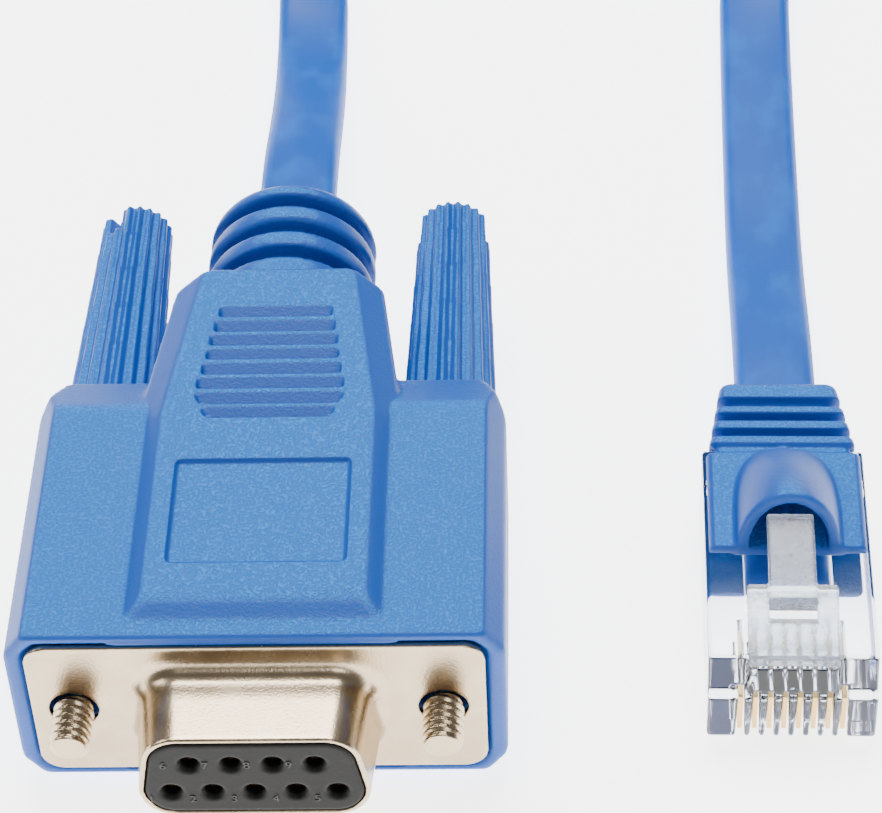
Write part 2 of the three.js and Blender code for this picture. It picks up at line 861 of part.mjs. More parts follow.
addPiece(socketGroup, 'db9_hood', makeHood(), materials.blue);
addPiece(socketGroup, 'db9_shell', makeShell(), materials.nickel);
addPiece(socketGroup, 'db9_insulator', makeInsulator(), materials.black);
contactPlaces().forEach((place, i) => {
  addPiece(socketGroup, `db9_contact_${i + 1}`, makeContact(place), materials.gold);
});
[['left', -screwX], ['right', screwX]].forEach(([side, x]) => {
  addPiece(socketGroup, `thumbscrew_knob_${side}`, makeKnob(x, slotTurns[side]), materials.blue);
  addPiece(socketGroup, `thumbscrew_screw_${side}`, makeScrew(x), materials.nickel);
});
addPiece(group, 'cable_db9_run', makeCable(socketRoute), materials.blue);
const coil = addPiece(group, 'cable_coil', makeCoil(), materials.blue);
coil.position.set(coilCentre[0], coilCentre[1], 0);
addPiece(group, 'cable_rj45_run', makeCable(plugRoute), materials.blue);
addPiece(plugGroup, 'rj45_boot', makeBoot(), materials.blue);
addPiece(plugGroup, 'rj45_plug_body', makePlugBody(), materials.clear);
addPiece(plugGroup, 'rj45_latch', makeLatch(), materials.clear);
bladePlaces.forEach((x, i) => {
  addPiece(plugGroup, `rj45_contact_${i + 1}`, makeBlade(x), materials.gold);
});

export default group;
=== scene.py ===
import json
import math

import bpy
import numpy as np
from mathutils import Matrix, Vector


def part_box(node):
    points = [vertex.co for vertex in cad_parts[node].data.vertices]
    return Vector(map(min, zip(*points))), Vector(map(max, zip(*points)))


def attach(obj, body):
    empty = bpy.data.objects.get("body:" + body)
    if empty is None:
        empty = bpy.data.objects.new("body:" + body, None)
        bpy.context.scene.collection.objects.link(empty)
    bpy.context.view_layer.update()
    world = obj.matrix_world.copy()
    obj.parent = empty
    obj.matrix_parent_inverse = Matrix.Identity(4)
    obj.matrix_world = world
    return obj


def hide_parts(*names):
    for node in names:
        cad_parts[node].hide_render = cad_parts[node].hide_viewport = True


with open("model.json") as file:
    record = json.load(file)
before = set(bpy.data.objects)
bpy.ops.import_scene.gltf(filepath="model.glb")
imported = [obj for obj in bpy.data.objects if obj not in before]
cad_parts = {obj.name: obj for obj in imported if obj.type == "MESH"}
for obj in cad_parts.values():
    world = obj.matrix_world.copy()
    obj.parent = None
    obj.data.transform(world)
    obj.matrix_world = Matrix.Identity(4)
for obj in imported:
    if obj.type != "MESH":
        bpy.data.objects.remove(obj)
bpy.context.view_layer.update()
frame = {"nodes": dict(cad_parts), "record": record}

# The viewpoint: a long lens over the D socket, looking down at it and a little to its left.
# Its place and turn come from the flange's corners and the nine contact holes.
lens_place = Vector((0.0197505, -0.1507654, 0.1641179))
elevation, azimuth, roll = (math.radians(a) for a in (44.6181, 2.8776, -2.6932))
sensor_width = 36
picture_width, focal_length = 882, 3000
camera = bpy.data.objects.new("viewpoint", bpy.data.cameras.new("viewpoint"))
bpy.context.scene.collection.objects.link(camera)
camera.data.sensor_width = sensor_width
camera.data.lens = focal_length / picture_width * sensor_width
camera.data.clip_start = 0.01
back = Vector((
    math.sin(azimuth) * math.cos(elevation),
    -math.cos(azimuth) * math.cos(elevation),
    math.sin(elevation),
))
level = Vector((math.cos(azimuth), math.sin(azimuth), 0))
upright = back.cross(level)
turned_level = level * math.cos(roll) + upright * math.sin(roll)
turned_upright = upright * math.cos(roll) - level * math.sin(roll)
camera.matrix_world = (
    Matrix.Translation(lens_place)
    @ Matrix((turned_level, turned_upright, back)).transposed().to_4x4()
)
bpy.context.scene.camera = camera

# The flat cable: eight cores side by side in a soft blue jacket, 1.83 m long. It leaves the
# strain relief, lies flat on the table, is wound on edge in a coil of two layers, and comes
# back flat to the boot of the modular plug.
MM = 0.001
cable_width, cable_thickness, cable_edge = 6.1 * MM, 2.4 * MM, 0.95 * MM
socket_route = [
    (0, 26.45, 8, 0), (0, 31, 7.95, 0), (-0.05, 36.5, 7.2, 0), (-0.15, 43, 5.2, 0),
    (-0.3, 50, 3, 0), (-0.5, 56, 1.6, 0), (-0.65, 61.5, 1.45, 2), (-0.85, 66.5, 2.4, 22),
    (-1.8, 72, 3.3, 54), (-4.3, 77.7, 3.4, 79), (-7.2, 82.6, 3.4, 90),
]
plug_route = [
    (36.514, -8.252, 4, 0), (36.744, 2.746, 4, 0), (36.922, 11.244, 4, 0),
    (37.01, 15.2, 3.85, 0), (37.13, 21, 3.05, 0), (37.25, 27, 1.95, 0),
    (37.4, 33.5, 1.3, 0), (37.65, 42, 1.22, 0), (37.95, 51.5, 1.22, 0),
    (38.2, 58.5, 1.25, 0), (38.45, 64.5, 1.85, 10), (38.9, 69, 3.2, 34),
    (40.2, 74.2, 5.6, 64), (42.4, 79, 8, 84), (44.8, 82.6, 9.4, 90),
]
coil_centre = (18.8, 115)
coil_outer, coil_inner, coil_turns = 38.3, 28.75, 7 + 244 / 360
layer_low, layer_high = 3.36, 9.56
coil_from = math.radians(212)


def coil_route():
    """Points of the coil, clockwise from above: inwards below, up, and outwards on top."""
    points = []
    count = 280
    for i in range(count + 1):
        part = i / count
        inwards = min(part, 1 - part) * 2
        radius = coil_outer + (coil_inner - coil_outer) * min(1, inwards * 1.03)
        angle = coil_from - part * coil_turns * 2 * math.pi
        rise = min(1, max(0, (part - 0.5) * coil_turns / 0.22 + 0.5))
        rise = rise * rise * (3 - 2 * rise)
        points.append((
            coil_centre[0] + radius * math.cos(angle),
            coil_centre[1] + radius * math.sin(angle),
            layer_low + (layer_high - layer_low) * rise,
            90,
        ))
    return points


def smooth_line(points, step):
    """A centripetal Catmull-Rom line through points of any width, sampled about step apart."""
    p = np.array(points, float)
    p = np.vstack([2 * p[0] - p[1], p, 2 * p[-1] - p[-2]])
    gaps = np.sqrt(np.linalg.norm(np.diff(p[:, :3], axis=0), axis=1))
    line = []
    for i in range(1, len(p) - 2):
        t0, t1 = 0.0, gaps[i - 1]
        t2 = t1 + gaps[i]
        t3 = t2 + gaps[i + 1]
        steps = max(2, round(float(gaps[i] ** 2) / step))
        for k in range(steps):
            t = t1 + (t2 - t1) * k / steps
            a = p[i - 1] * (t1 - t) / (t1 - t0) + p[i] * (t - t0) / (t1 - t0)
            b = p[i] * (t2 - t) / (t2 - t1) + p[i + 1] * (t - t1) / (t2 - t1)
            c = p[i + 1] * (t3 - t) / (t3 - t2) + p[i + 2] * (t - t2) / (t3 - t2)
            d = a * (t2 - t) / t2 + b * t / t2
            e = b * (t3 - t) / (t3 - t1) + c * (t - t1) / (t3 - t1)
            line.append(d * (t2 - t) / (t2 - t1) + e * (t - t1) / (t2 - t1))
    line.append(p[-2])
    return np.array(line)


def rounded_section(width, height, corner, steps):
    """Outline of a rectangle with round corners, anticlockwise round its middle."""
    outline = []
    for quarter, (sx, sy) in enumerate(((1, 1), (-1, 1), (-1, -1), (1, -1))):
        for k in range(steps + 1):
            turn = (quarter + k / steps) * math.pi / 2
            outline.append((
                sx * (width / 2 - corner) + corner * math.cos(turn),
                sy * (height / 2 - corner) + corner * math.sin(turn),
            ))
    return outline


def new_mesh(name, points, faces, smooth=True):
    """An object at the origin from points in metres and faces."""
    mesh = bpy.data.meshes.new(name)
    mesh.from_pydata([tuple(p) for p in points], [], faces)
    mesh.update()
    if smooth:
        mesh.polygons.foreach_set("use_smooth", [True] * len(mesh.polygons))
    made = bpy.data.objects.new(name, mesh)
    bpy.context.scene.collection.objects.link(made)
    return made


def loft(rings):
    """Points and faces of a closed skin over rings of equally many points."""
    count = len(rings[0])
    points = [p for ring in rings for p in ring]
    faces = []
    for i in range(len(rings) - 1):
        for j in range(count):
            k = (j + 1) % count
            faces.append(
                (i * count + j, i * count + k, (i + 1) * count + k, (i + 1) * count + j))
    last_ring = (len(rings) - 1) * count
    faces.append(tuple(range(count))[::-1])
    faces.append(tuple(range(last_ring, last_ring + count)))
    return points, faces


route = socket_route + coil_route() + plug_route[::-1]
ribbon = smooth_line(route, 1.3)
ribbon_line = ribbon[:, :3] * MM
tangents = np.gradient(ribbon_line, axis=0)
tangents /= np.linalg.norm(tangents, axis=1)[:, None]
sides = np.cross(tangents, (0, 0, 1))
sides /= np.linalg.norm(sides, axis=1)[:, None]
turns = np.radians(ribbon[:, 3])[:, None]
sides = sides * np.cos(turns) + np.cross(tangents, sides) * np.sin(turns)
normals = np.cross(tangents, sides)
section = rounded_section(cable_width, cable_thickness, cable_edge, 3)
rings = [
    [centre + side * x + normal * y for x, y in section]
    for centre, side, normal in zip(ribbon_line, sides, normals)
]
cable = new_mesh("flat_cable", *loft(rings))
around = len(section)
along = np.concatenate([[0], np.cumsum(np.linalg.norm(np.diff(ribbon_line, axis=0), axis=1))])
jacket_uv = cable.data.uv_layers.new(name="jacket")
for polygon in cable.data.polygons:
    for loop in polygon.loop_indices:
        vertex = cable.data.loops[loop].vertex_index
        ring, place = divmod(vertex, around)
        jacket_uv.data[loop].uv = (along[ring], section[place][0])


class Field:
    """A socket in a material's tree. Arithmetic on it adds Math nodes; node() adds the rest."""

    def __init__(self, tree, socket=None):
        self.tree, self.socket = tree, socket

    def node(self, kind, settings, sockets, out=0):
        made = self.tree.nodes.new(kind)
        for name, value in settings.items():
            setattr(made, name, value)
        for name, value in sockets.items():
            if isinstance(value, Field):
                self.tree.links.new(value.socket, made.inputs[name])
            else:
                made.inputs[name].default_value = value
        return Field(self.tree, made.outputs[out])

    def maths(self, operation, *values):
        sockets = dict(enumerate(values))
        return self.node("ShaderNodeMath", {"operation": operation}, sockets)

    def __add__(self, other):
        return self.maths("ADD", self, other)

    def __radd__(self, other):
        return self.maths("ADD", other, self)

    def __mul__(self, other):
        return self.maths("MULTIPLY", self, other)

    def place(self):
        return self.node("ShaderNodeTexCoord", {}, {}, out="Object")

    def noise(self, scale, vector, detail=2.0, roughness=0.5):
        return self.node(
            "ShaderNodeTexNoise", {},
            {"Vector": vector, "Scale": scale, "Detail": detail, "Roughness": roughness},
        )

    def stretched(self, vector, scale):
        return self.node("ShaderNodeMapping", {}, {"Vector": vector, "Scale": scale})

    def between(self, low, high):
        """0 below low, 1 above high, smooth between."""
        return self.node(
            "ShaderNodeMapRange", {"interpolation_type": "SMOOTHSTEP"},
            {"Value": self, "From Min": low, "From Max": high},
        )

    def colours(self, first, second):
        """first where this is 0, second where it is 1."""
        return self.node(
            "ShaderNodeMix", {"data_type": "RGBA"},
            {"Factor": self, 6: first, 7: second}, out=2,
        )

    def bump(self, distance, strength=1.0):
        return self.node(
            "ShaderNodeBump", {},
            {"Strength": strength, "Distance": distance, "Height": self},
        )


def new_finish(name, sockets):
    """A material with one Principled shader, given a function of a field that returns sockets."""
    material = bpy.data.materials.new(name)
    material.use_nodes = True
    tree = material.node_tree
    tree.nodes.clear()
    start = Field(tree)
    shader = start.node("ShaderNodeBsdfPrincipled", {}, sockets(start), out="BSDF")
    surface = tree.nodes.new("ShaderNodeOutputMaterial").inputs["Surface"]
    tree.links.new(shader.socket, surface)
    return material


def linear(red, green, blue, alpha=1.0):
    """A colour given as 0 to 255 in display values."""
    values = [c / 255 for c in (red, green, blue)]
    values = [c / 12.92 if c <= 0.04045 else ((c + 0.055) / 1.055) ** 2.4 for c in values]
    return (*values, alpha)


def jacket_looks(start):
    uv = start.node("ShaderNodeUVMap", {"uv_map": "jacket"}, {})
    haze = start.noise(210, start.stretched(uv, (1, 1.6, 1)), detail=3)
    lines = start.noise(900, start.stretched(uv, (0.12, 2.2, 1)), detail=2)
    place = start.place()
    grain = start.noise(5200, place, detail=1)
    patches = haze.between(0.45, 0.72)
    colour = patches.colours((0.0, 0.08, 0.42, 1), (0.0, 0.11, 0.5, 1))
    height = lines * 0.6 + grain * 0.4
    return {
        "Base Color": colour,
        "Roughness": 0.5 + patches * 0.1,
        "Specular IOR Level": 0.3,
        "Normal": height.bump(0.00002),
        "IOR": 1.5,
    }


jacket = new_finish("jacket_pvc_satin", jacket_looks)
cable.data.materials.append(jacket)
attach(cable, "cable")
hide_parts("cable_db9_run", "cable_coil", "cable_rj45_run")


# The hood: one PVC moulding round the shell. Two wings carry the thumbscrews, and between them
# a raised panel runs into the neck and the ribbed strain relief. Its flat faces are grained and
# painted a paler blue, a painted sheen; its bevels are smooth and keep the plain, darker blue.
socket_shift = Vector((0, -21.55, 8)) * MM
screw_x, screw_hole_radius = 12.495, 1.65
flange_half_x, flange_half_z, flange_corner, flange_gap = 13.805, 4.675, 1.6, 0.15
wing_half_width, wing_half_height, wing_front, wing_rear = 16.75, 7.2, 0.2, 26.3
panel_height, bevel_reach, bevel_foot, neck_end = 8, 2.13, 6.7, 35.5
relief_radius, relief_core, relief_start, relief_end = 6.5, 5.3, 30, 47.65
relief_ribs = ((relief_start, 38.7), (39.85, 41.6), (42.75, 44.5))
label_half_x, label_middle, label_half_y, label_floor = 6.05, 10.975, 4.725, 7.7
grip_start, grip_widest, grip_end, grip_steps = 19.9, 22.5, 31.8, 8


def smooth_min(a, b, k):
    """The smaller of two fields, blended over k millimetres where they meet."""
    h = np.clip(0.5 + 0.5 * (b - a) / k, 0, 1)
    return b * (1 - h) + a * h - k * h * (1 - h)


def smooth_max(k, *fields):
    """The largest of the fields, blended over k millimetres where they meet."""
    whole = fields[0]
    for other in fields[1:]:
        whole = -smooth_min(-whole, -other, k)
    return whole


def plane(u, v, start, end):
    """Distance from the line through start and end, positive on its right side."""
    du, dv = end[0] - start[0], end[1] - start[1]
    return ((u - start[0]) * dv - (v - start[1]) * du) / math.hypot(du, dv)


def skin(name, low, high, cell, field, place, finer=()):
    """A closed mesh round where field(x, y, z) in millimetres is negative, by surface nets.

    finer lists (axis, start, end, cell) for spans that need smaller cells than the rest.
    """
    axes = [np.arange(a - 2 * cell, b + 2.5 * cell, cell) for a, b in zip(low, high)]
    for axis, start, end, small in finer:
        line = axes[axis]
        before, after = line[line < start - small / 2], line[line > end + small / 2]
        axes[axis] = np.concatenate([before, np.arange(start, end, small), after])
    shape = tuple(len(a) for a in axes)
    grid = np.meshgrid(*axes, indexing="ij", sparse=True)
    value = np.ascontiguousarray(np.broadcast_to(field(*grid), shape), dtype=np.float32)
    inside = value < 0
    corner = inside[:-1, :-1, :-1]
    mixed = np.zeros(corner.shape, bool)
    for dx, dy, dz in np.ndindex(2, 2, 2):
        mixed |= corner != inside[
            dx:shape[0] - 1 + dx, dy:shape[1] - 1 + dy, dz:shape[2] - 1 + dz]
    cells = np.argwhere(mixed)
    total, count = np.zeros(cells.shape), np.zeros(len(cells))
    unit = np.eye(3, dtype=int)
    for axis in range(3):
        first, second = (unit[k] for k in range(3) if k != axis)
        for i, j in np.ndindex(2, 2):
            start = cells + first * i + second * j
            a, b = value[tuple(start.T)], value[tuple((start + unit[axis]).T)]
            crossed = (a < 0) != (b < 0)
            share = np.where(crossed, a / np.where(crossed, a - b, 1), 0)
            total += np.where(crossed[:, None], start + share[:, None] * unit[axis], 0)
            count += crossed
    total /= count[:, None]
    points = np.stack([
        np.interp(total[:, axis], range(shape[axis]), axes[axis]) for axis in range(3)
    ], 1)
    turn = np.array(place.to_3x3())
    points = points @ turn.T * MM + np.array(place.translation)
    number = np.full(mixed.shape, -1, np.int32)
    number[tuple(cells.T)] = np.arange(len(cells))
    faces = []
    for axis in range(3):
        first, second = (unit[k] for k in range(3) if k != axis)
        near = np.take(inside, range(shape[axis] - 1), axis)
        far = np.take(inside, range(1, shape[axis]), axis)
        edges = np.argwhere(near != far)
        quads = np.stack([
            number[tuple((edges - back_by).T)]
            for back_by in (0 * first, first, first + second, second)
        ], 1)
        leaving = near[tuple(edges.T)]
        flipped = leaving if axis == 1 else ~leaving
        quads[flipped] = quads[flipped][:, ::-1]
        faces.append(quads)
    return new_mesh(name, points, np.concatenate(faces).tolist())


def d_field(x, z, grow=0.0):
    """The D outline of the shell, wide side down, in the XZ plane."""
    half_width, half_height, corner = 8.165, 3.95, 2.6
    slope = math.radians(10)
    across = np.abs(x)
    inner = half_height - corner
    wide = half_width - corner
    narrow = wide - 2 * inner * math.tan(slope)
    side = plane(across, z, (wide, -inner), (narrow, inner))
    box = np.maximum(side, np.abs(z) - inner)
    to_wide = np.hypot(np.maximum(across - wide, 0), np.minimum(z + inner, 0))
    to_narrow = np.hypot(np.maximum(across - narrow, 0), np.maximum(z - inner, 0))
    outside = np.maximum(box, 0)
    outside = np.where(z < -inner, to_wide, np.where(z > inner, to_narrow, outside))
    return np.where(box < 0, box, outside) - corner - grow


def flange_outline(across, up, gap=0.0):
    """The flange's rectangle with round corners, from its middle outwards."""
    beyond_x = np.maximum(across - flange_half_x - gap, 0)
    beyond_z = np.maximum(up - flange_half_z - gap, 0)
    return np.hypot(beyond_x, beyond_z) - flange_corner


def grip_half_width(y):
    """Half the width of the finger grip, which widens to grip_widest and then narrows."""
    widening = 4.35 + (y - grip_start) / 2.6
    narrowing = 5.35 - (y - grip_widest) * 1.4 / 9.3
    return np.where(y < grip_widest, widening, narrowing)


def hood_field(x, y, z):
    across, up = np.abs(x), np.abs(z)
    wings = smooth_max(
        0.3, across - wing_half_width, up - wing_half_height, wing_front - y, y - wing_rear,
        plane(across, up, (wing_half_width, 5.3), (15.35, wing_half_height)),
        plane(y, up, (wing_rear, 5.3), (21.9, wing_half_height)),
        plane(across, y, (wing_half_width, 22.6), (15.1, wing_rear)),
    )
    panel = 7.4 - np.maximum(0, y - 20.5) * 0.13
    neck = smooth_max(
        0.25, up - panel_height, across - panel - bevel_reach, y - neck_end,
        plane(across - panel, up, (bevel_reach, bevel_foot), (0, panel_height)),
        plane(-y, up, (-0.35, bevel_foot), (-3.2, panel_height)),
        plane(across, y, (7.58, 34.5), (5.45, neck_end)),
    )
    body = smooth_min(wings, neck, 0.15)

    radius = np.hypot(x, z)
    core = smooth_max(0.3, radius - relief_core, relief_start - y, y - 46.5)
    body = smooth_min(body, core, 0.3)
    for start, end in relief_ribs:
        body = np.minimum(body, smooth_max(0.5, radius - relief_radius, start - y, y - end))
    cap = smooth_max(1.9, radius - relief_radius, y - relief_end)
    body = np.minimum(body, smooth_max(0.5, cap, 45.65 - y))
    first_groove = np.maximum(relief_ribs[0][1] - y, y - relief_ribs[1][0])
    body = smooth_max(0.2, body, -np.maximum(relief_core - radius, first_groove))

    label = np.maximum(across - label_half_x, np.abs(y - label_middle) - label_half_y)
    body = smooth_max(0.05, body, -np.maximum(label, label_floor - up))

    step = (grip_end - grip_start) / grip_steps
    part = np.mod(y - grip_start, step) / step
    floor = panel_height - 0.55 * (1 - np.clip(part / 0.78, 0, 1)) - 0.04
    middle = grip_start + (np.floor((y - grip_start) / step) + 0.5) * step
    wide = grip_half_width(np.where(y < grip_widest, y, middle))
    beyond = np.abs(y - (grip_start + grip_end) / 2) - (grip_end - grip_start) / 2
    grip = np.maximum(np.maximum(floor - up, across - wide), beyond)
    body = smooth_max(0.04, body, -grip)

    seat = np.maximum(flange_outline(across, up, flange_gap), y - 0.75)
    bore = np.maximum(d_field(x, z), y - 9.15)
    shanks = np.hypot(across - screw_x, z) - screw_hole_radius
    return np.maximum(np.maximum(body, -seat), np.maximum(-bore, -shanks))


socket_place = Matrix.Translation(socket_shift)
hood = skin(
    "d_socket_hood", (-16.8, 0.2, -8), (16.8, 47.7, 8), 0.28, hood_field, socket_place,
    finer=((1, 19.6, 32.2, 0.12), (2, 6.9, 8.2, 0.1)),
)


def moulded_looks(start):
    place = start.place()
    normal = start.node("ShaderNodeNewGeometry", {}, {}, out="Normal")
    upward = start.node("ShaderNodeSeparateXYZ", {}, {"Vector": normal}, out="Z")
    flat = upward.maths("ABSOLUTE", upward).between(0.9, 0.985)
    grain = start.noise(4600, place, detail=2, roughness=0.6)
    fine = start.noise(9000, place, detail=1)
    speck = grain.between(0.38, 0.62)
    # Flat faces are painted towards a paler blue, a painted sheen of the light from above, broken
    # up by the grain's specks; bevels and slopes keep the plain blue.
    plain = (0.0, 0.066, 0.35, 1)
    colour = (flat * (speck * 0.5 + 0.5)).colours(plain, (0.004, 0.19, 0.64, 1))
    height = (speck * 0.8 + fine * 0.3) * (flat * 0.85 + 0.15)
    return {
        "Base Color": colour,
        "Roughness": 0.46 + flat * 0.1,
        "Specular IOR Level": 0.35,
        "Normal": height.bump(0.00006),
    }


hood_pvc = new_finish("hood_pvc_grained_painted_sheen", moulded_looks)
hood.data.materials.append(hood_pvc)
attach(hood, "cable")
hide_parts("db9_hood")


# The shell of the D socket: flange and D tube drawn from one piece of steel, with a rolled
# root between them and a thin rounded lip, plated with warm bright nickel.
tube_front, flange_back, lip_thickness = -5.95, 0.6, 0.4


def shell_draw(y):
    """How much narrower the tube is at y than at its root."""
    return 1 + 0.055 * np.clip((-1.5 - y) / 4, 0, 1)


def shell_field(x, y, z):
    across, up = np.abs(x), np.abs(z)
    plate = smooth_max(0.2, flange_outline(across, up), -y, y - flange_back)
    drawn = x * shell_draw(y)
    tube = smooth_max(0.25, d_field(drawn, z), tube_front - y, y - flange_back)
    body = smooth_min(plate, tube, 1.5)
    lip = smooth_max(0.2, body, -d_field(drawn, z, -lip_thickness))
    holes = np.hypot(across - screw_x, z) - screw_hole_radius
    return smooth_max(0.15, lip, -holes)


shell = skin(
    "d_socket_shell", (-15.5, -6, -6.4), (15.5, 0.7, 6.4), 0.16, shell_field, socket_place)


def nickel_looks(start):
    place = start.place()
    cloud = start.noise(420, place, detail=3)
    pits = start.noise(5200, place, detail=2)
    return {
        "Base Color": cloud.colours(linear(166, 146, 118), linear(198, 180, 152)),
        "Metallic": 1.0,
        "Roughness": 0.2 + cloud * 0.12,
        "Normal": pits.bump(0.000012),
    }


nickel = new_finish("nickel_plate", nickel_looks)
shell.data.materials.append(nickel)
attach(shell, "cable")
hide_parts("db9_shell")


# The insulator: black plastic behind the shell's lip, with a countersunk hole for each of the
# nine contacts and a small number beside it.
front_low, front_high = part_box("db9_insulator")
insulator_front = (front_low[1] - socket_shift.y) / MM
insulator_back = (front_high[1] - socket_shift.y) / MM
half_pitch, upper_row, lower_row = 1.385, 1.42, -1.42
hole_radius, hole_depth, sunk_radius, sunk_slope = 0.59, 3.5, 0.85, 0.74
hole_places = [(x * half_pitch, lower_row) for x in (-4, -2, 0, 2, 4)]
hole_places += [(x * half_pitch, upper_row) for x in (-3, -1, 1, 3)]


def insulator_field(x, y, z):
    outline = d_field(x * shell_draw(y), z, -0.45)
    body = smooth_max(0.3, outline, insulator_front - y, y - insulator_back)
    deep = y - insulator_front
    for hole_x, hole_z in hole_places:
        radius = np.hypot(x - hole_x, z - hole_z)
        entry = np.maximum(radius - hole_radius, deep - hole_depth)
        sunk = (radius - sunk_radius + deep * sunk_slope) / 1.24
        body = smooth_max(0.05, body, -np.minimum(entry, sunk))
    return body


insulator = skin(
    "d_socket_insulator", (-8, insulator_front, -3.8), (8, insulator_back, 3.8),
    0.12, insulator_field, socket_place,
)


def black_looks(start):
    cloud = start.noise(3000, start.place(), detail=3)
    fine = start.noise(9000, start.place(), detail=1)
    return {
        "Base Color": cloud.colours(linear(12, 12, 12), linear(30, 29, 28)),
        "Roughness": 0.42 + cloud * 0.15,
        "Specular IOR Level": 0.12,
        "Normal": (cloud * 0.6 + fine * 0.4).bump(0.00002),
    }


black = new_finish("insulator_black", black_looks)
insulator.data.materials.append(black)
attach(insulator, "cable")
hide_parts("db9_insulator")

# The raised numbers are painted a darker black than the insulator's face: painted shade standing in
# for the shading of their relief.
number_painted_shade = new_finish("number_painted_shade", lambda start: {
    "Base Color": start.noise(3000, start.place()).colours(linear(8, 8, 8), linear(18, 18, 18)),
    "Roughness": 0.6,
})
number_places = {
    str(n + 1): (x - 1.62, lower_row - 0.95) for n, (x, _) in enumerate(hole_places[:5])
}
number_places.update({
    str(n + 6): (x - 1.95, upper_row - 0.28) for n, (x, _) in enumerate(hole_places[5:])
})
for number, (number_x, number_z) in number_places.items():
    letters = bpy.data.curves.new("pin_number_" + number, "FONT")
    letters.body = number
    letters.size = 0.95 * MM
    letters.extrude = 0.04 * MM
    written = bpy.data.objects.new("pin_number_text", letters)
    bpy.context.scene.collection.objects.link(written)
    seen = written.evaluated_get(bpy.context.evaluated_depsgraph_get())
    number_mesh = bpy.data.meshes.new_from_object(seen)
    bpy.data.objects.remove(written)
    number_shift = Vector((number_x, insulator_front - 0.02, number_z)) * MM
    number_mesh.transform(
        Matrix.Translation(socket_shift + number_shift) @ Matrix.Rotation(math.pi / 2, 4, "X"))
    moulded = bpy.data.objects.new("pin_number_" + number, number_mesh)
    bpy.context.scene.collection.objects.link(moulded)
    number_mesh.materials.clear()
    number_mesh.materials.append(number_painted_shade)
    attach(moulded, "cable")


# The thumbscrews: a tapered blue knob with twenty V flutes and a driver slot across its end,
# moulded on a plated steel screw with a rolled 4-40 thread and a flat tip.
knob_start, knob_end, knob_radius, knob_taper = 26.7, 49.05, 3.55, 0.78
flutes, flute_depth, slot_half_width, slot_depth = 20, 0.34, 0.65, 2.5
thread_pitch, thread_root, thread_height = 0.635, 1.08, 0.34
shank_radius, screw_end = 1.15, 28


def knob_field(turned):
    def field(x, y, z):
        part = (y - knob_start) / (knob_end - knob_start)
        radius = np.hypot(x, z)
        wave = np.mod(np.arctan2(z, x) * flutes / (2 * math.pi), 1)
        crest = 1 - np.abs(wave - 0.5) * 2
        flute = flute_depth * np.clip(1.15 - crest * 1.3, 0, 1)
        side = (radius - (knob_radius - knob_taper * part) + flute) * 0.85
        body = smooth_max(0.35, side, knob_start - y, y - knob_end)
        across = x * math.sin(turned) - z * math.cos(turned)
        slot = np.maximum(np.abs(across) - slot_half_width, knob_end - slot_depth - y)
        return smooth_max(0.12, body, -slot)
    return field


def screw_field(x, y, z):
    radius = np.hypot(x, z)
    wave = np.mod(y / thread_pitch - np.arctan2(z, x) / (2 * math.pi), 1)
    crest = np.clip((1 - np.abs(wave - 0.5) * 2) * 1.25 - 0.12, 0, 1)
    running = np.clip((0.6 - y) / 0.4, 0, 1) * np.clip((y - screw_tip + 0.1) / 0.45, 0, 1)
    ridge = thread_root + thread_height * crest * running
    body = (radius - np.where(y > 0.4, shank_radius, ridge)) * 0.75
    return smooth_max(0.12, body, screw_tip - y, y - screw_end)


for side_name, side_x, turned in (("left", -screw_x, 128), ("right", screw_x, 0)):
    screw_place = Matrix.Translation(socket_shift + Vector((side_x, 0, 0)) * MM)
    screw_tip = (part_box("thumbscrew_screw_" + side_name)[0][1] - socket_shift.y) / MM
    knob = skin(
        "fluted_knob_" + side_name, (-3.6, knob_start, -3.6), (3.6, knob_end, 3.6), 0.15,
        knob_field(math.radians(turned)), screw_place,
    )
    knob.data.materials.append(hood_pvc)
    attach(knob, "thumbscrew_" + side_name)
    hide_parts("thumbscrew_knob_" + side_name)
    screw = skin(
        "threaded_screw_" + side_name, (-1.5, screw_tip, -1.5), (1.5, screw_end, 1.5), 0.11,
        screw_field, screw_place,
    )
    screw.data.materials.append(nickel)
    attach(screw, "thumbscrew_" + side_name)
    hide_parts("thumbscrew_screw_" + side_name)


# The boot: a soft blue slip over the plug's rear. Two thin plates clasp the plug, an arched
# guard stands over the end of the latch, and four grooves let the tapered tail bend.
plug_place = (
    Matrix.Translation(Vector((36.3, -18.45, 0)) * MM)
    @ Matrix.Rotation(math.radians(-1.2), 4, "Z")
)
guard_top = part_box("rj45_boot")[1][2] / MM
boot_front, boot_end, tail_start, boot_middle = 11, 29, 20.8, 4.1
guard_length, guard_wall = 9.9, 0.85
boot_grooves = ((20.95, 0.35), (22.75, 0.75), (24.6, 0.75), (26.4, 0.75))


